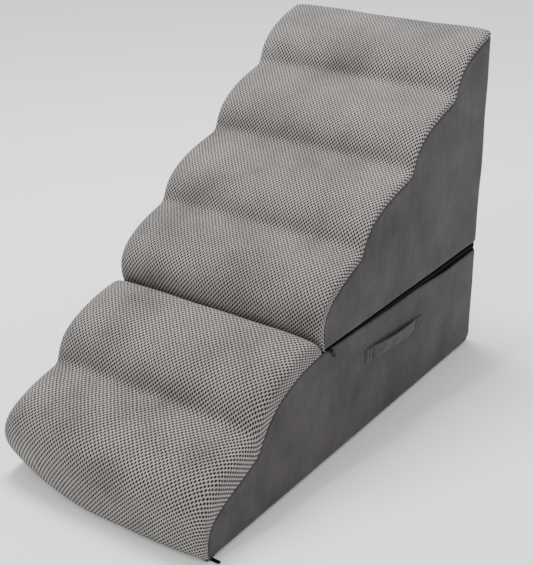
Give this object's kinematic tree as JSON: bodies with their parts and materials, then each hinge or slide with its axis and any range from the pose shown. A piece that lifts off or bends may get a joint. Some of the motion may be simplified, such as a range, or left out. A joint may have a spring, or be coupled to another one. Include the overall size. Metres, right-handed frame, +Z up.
{
  "type": "pet ramp",
  "caption": "Foam pet ramp in two stacked zip-joined blocks, with wavy mesh-covered treads, velvet sides and a side carrying strap.",
  "frame": {"origin": "on the floor, midway across the width and midway along the length", "axes": "+X to the right of somebody climbing the ramp, +Y from the nose to the back, +Z up"},
  "size_m": [0.518, 1.0361, 0.75],
  "materials": {
    "foam": "open-cell foam",
    "spacer_mesh": "honeycomb spacer mesh",
    "velvet": "short-pile velvet",
    "base_cloth": "non-slip cloth",
    "zip_tape": "woven tape",
    "zip_coil": "nylon",
    "zip_metal": "black enamel"
  },
  "bodies": {
    "lower_block": {"lower_foam_core": "foam", "lower_tread_cover": "spacer_mesh", "lower_left_panel": "velvet", "lower_right_panel": "velvet", "lower_back_panel": "velvet", "lower_base_panel": "base_cloth", "lower_deck_panel": "base_cloth", "lower_zip_facings": "base_cloth", "carry_strap": "velvet", "join_zip_lower_tape": "zip_tape", "join_zip_lower_coil": "zip_coil", "join_zip_box": "zip_metal", "lower_zip_tape_a": "zip_tape", "lower_zip_tape_b": "zip_tape", "lower_zip_coil_a": "zip_coil", "lower_zip_coil_b": "zip_coil", "lower_zip_end_stop": "zip_metal"},
    "upper_block": {"upper_foam_core": "foam", "upper_tread_cover": "spacer_mesh", "upper_left_panel": "velvet", "upper_right_panel": "velvet", "upper_back_panel": "velvet", "upper_base_panel": "base_cloth", "join_zip_upper_tape": "zip_tape", "join_zip_upper_coil": "zip_coil", "upper_zip_tape_a": "zip_tape", "upper_zip_tape_b": "zip_tape", "upper_zip_coil_a": "zip_coil", "upper_zip_coil_b": "zip_coil", "upper_zip_end_stop": "zip_metal"},
    "join_slider": {"join_zip_slider": "zip_metal"},
    "join_pull": {"join_zip_pull": "zip_metal"},
    "lower_slider": {"lower_zip_slider": "zip_metal"},
    "lower_pull": {"lower_zip_pull": "zip_metal"},
    "upper_slider": {"upper_zip_slider": "zip_metal"},
    "upper_pull": {"upper_zip_pull": "zip_metal"}
  },
  "joints": [
    {"name": "upper_block_lift", "type": "slide", "parent": "lower_block", "child": "upper_block", "axis": [0, 0, 1], "range_m": [0, 0.25]},
    {"name": "join_zip_travel", "type": "slide", "parent": "lower_block", "child": "join_slider", "axis": [0, 1, 0], "range_m": [0, 0.6]},
    {"name": "join_pull_swing", "type": "hinge", "parent": "join_slider", "child": "join_pull", "pos_m": [0.2511, -0.1085, 0.25015], "axis": [0, -0.788, -0.6157], "range_deg": [0, 150]},
    {"name": "lower_zip_travel", "type": "slide", "parent": "lower_block", "child": "lower_slider", "axis": [-1, 0, 0], "range_m": [0, 0.32]},
    {"name": "lower_pull_swing", "type": "hinge", "parent": "lower_slider", "child": "lower_pull", "pos_m": [0.242, -0.4875, 0.0025], "axis": [0, 1, 0], "range_deg": [0, 150]},
    {"name": "upper_zip_travel", "type": "slide", "parent": "upper_block", "child": "upper_slider", "axis": [1, 0, 0], "range_m": [0, 0.42]},
    {"name": "upper_pull_swing", "type": "hinge", "parent": "upper_slider", "child": "upper_pull", "pos_m": [-0.214, 0.5186, 0.296], "axis": [0.788, 0, -0.6157], "range_deg": [0, 150]}
  ]
}
